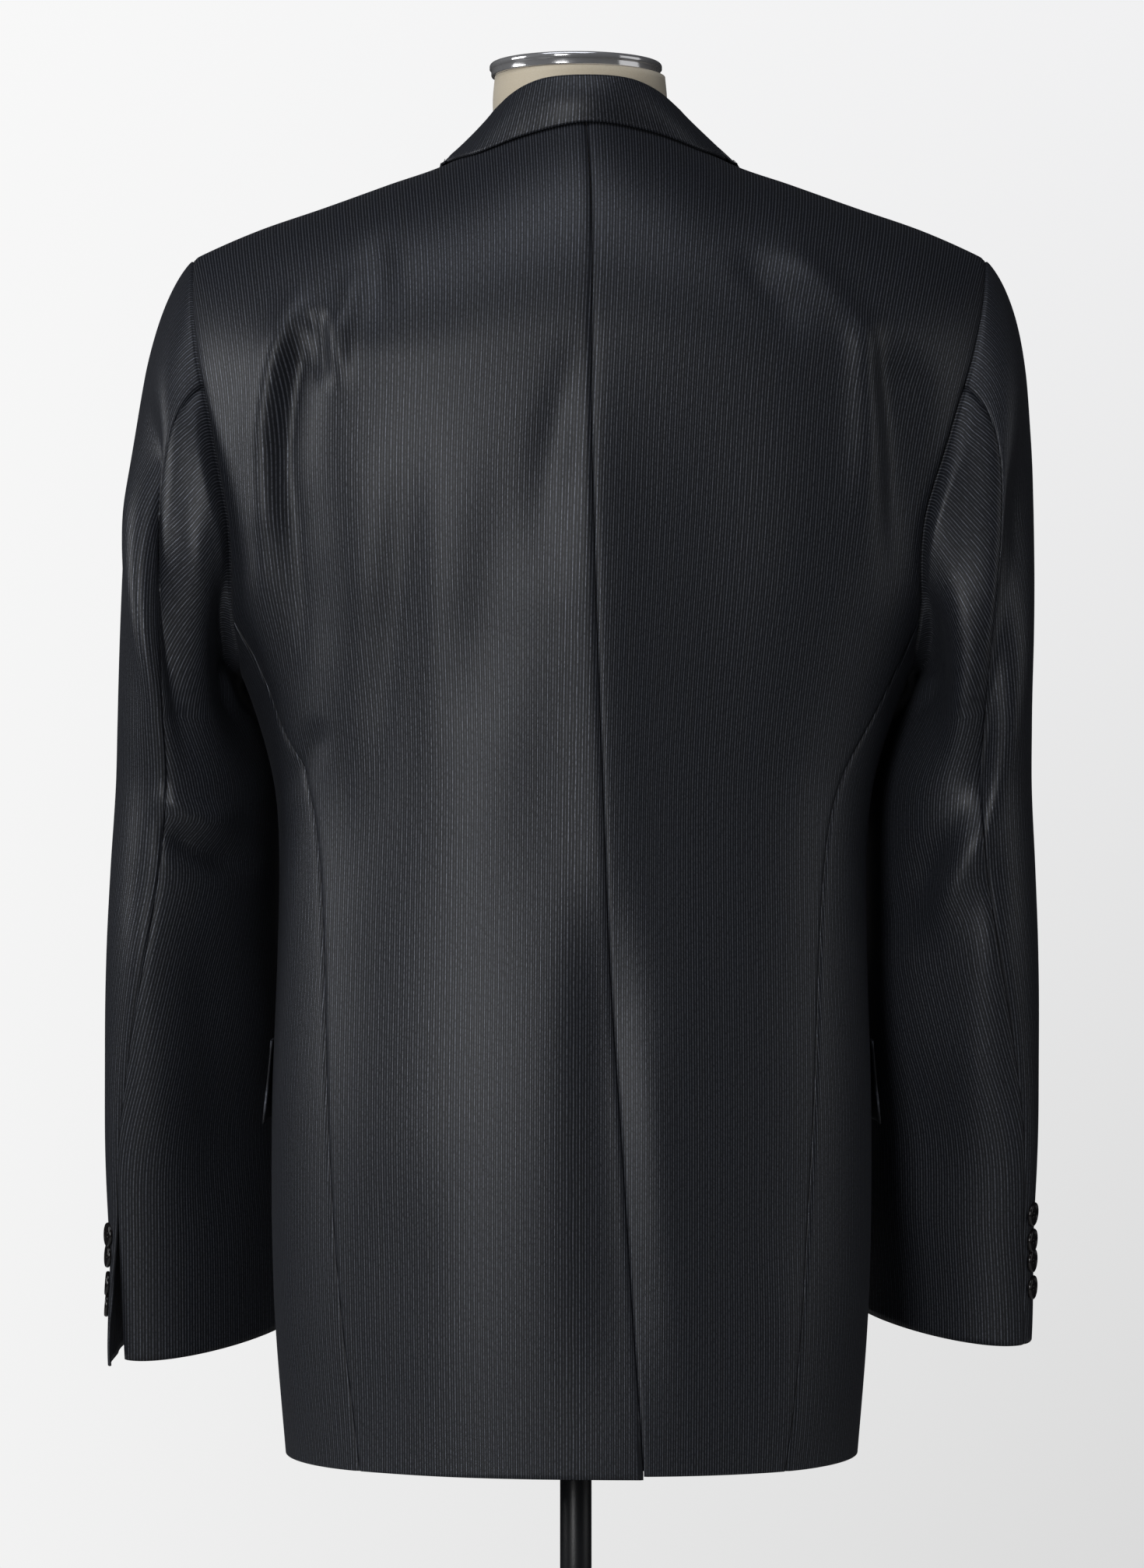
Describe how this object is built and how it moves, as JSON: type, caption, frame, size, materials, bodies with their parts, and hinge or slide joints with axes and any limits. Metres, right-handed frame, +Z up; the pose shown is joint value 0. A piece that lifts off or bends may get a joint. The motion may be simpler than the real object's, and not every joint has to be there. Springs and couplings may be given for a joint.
{
  "type": "blazer on dress form",
  "caption": "Charcoal pinstriped single-breasted blazer hanging on a limbless dress form with a black pole and round base.",
  "frame": {"origin": "middle of the base's underside, on the floor", "axes": "+Z up, -Y towards the garment's front, +X towards the wearer's left"},
  "size_m": [0.572, 0.3047, 1.1338],
  "materials": {
    "suiting": "fine striped worsted wool",
    "button": "polished black button",
    "canvas": "beige canvas over the form",
    "cap": "polished chrome",
    "stand": "black powder coat"
  },
  "bodies": {
    "root": {"back_left": "suiting", "back_right": "suiting", "vent_underlap": "suiting", "side_panel_left": "suiting", "side_panel_right": "suiting", "front_left": "suiting", "front_right": "suiting", "lapel_left": "suiting", "lapel_right": "suiting", "collar": "suiting", "top_sleeve_left": "suiting", "top_sleeve_right": "suiting", "under_sleeve_left": "suiting", "under_sleeve_right": "suiting", "pocket_flap_left": "suiting", "pocket_flap_right": "suiting", "breast_welt": "suiting", "front_button_upper": "button", "front_button_lower": "button", "cuff_button_left_1": "button", "cuff_button_left_2": "button", "cuff_button_left_3": "button", "cuff_button_left_4": "button", "cuff_button_right_1": "button", "cuff_button_right_2": "button", "cuff_button_right_3": "button", "cuff_button_right_4": "button", "form_torso": "canvas", "neck_cap": "cap", "pole": "stand", "base": "stand", "pole_socket": "stand"}
  },
  "joints": []
}
